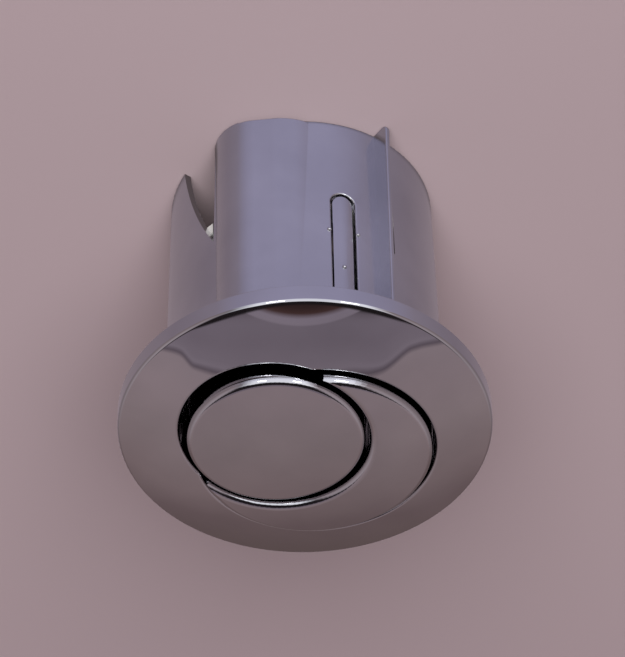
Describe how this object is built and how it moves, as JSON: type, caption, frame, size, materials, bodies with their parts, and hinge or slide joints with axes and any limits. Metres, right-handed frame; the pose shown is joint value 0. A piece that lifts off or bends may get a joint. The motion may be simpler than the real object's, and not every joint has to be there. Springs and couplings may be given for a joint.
{
  "type": "push button cistern actuator",
  "caption": "Chrome dual-flush push button for a cistern lid: domed round bezel moulded with its barrel, a round button in the arms of a crescent one, each sprung on a plunger with a push rod.",
  "frame": {"origin": "middle of the bezel's seat, on the axis of the barrel", "axes": "+Z out of the face, +X from the crescent button to the round button, barrel along -Z"},
  "size_m": [0.073, 0.073, 0.068],
  "materials": {
    "chrome_plate": "bright chrome plate on moulded plastic",
    "white_plastic": "moulded acetal",
    "spring_steel": "drawn stainless wire",
    "brass": "turned brass"
  },
  "bodies": {
    "housing": {"bezel_barrel": "chrome_plate", "spring_carrier": "white_plastic", "small_spring": "spring_steel", "crescent_spring": "spring_steel"},
    "round_button": {"small_button": "chrome_plate", "small_plunger": "white_plastic", "small_push_rod": "brass", "small_lock_nut": "brass"},
    "crescent": {"crescent_button": "chrome_plate", "crescent_plunger": "white_plastic", "crescent_push_rod": "brass", "crescent_lock_nut": "brass"}
  },
  "joints": [
    {"name": "small_press", "type": "slide", "parent": "housing", "child": "round_button", "axis": [0, 0, -1], "range_m": [0, 0.007], "stiffness_N_per_m": 350, "springref_m": -0.004, "deforming": ["small_spring"]},
    {"name": "crescent_press", "type": "slide", "parent": "housing", "child": "crescent", "axis": [0, 0, -1], "range_m": [0, 0.007], "stiffness_N_per_m": 350, "springref_m": -0.004, "deforming": ["crescent_spring"]}
  ]
}
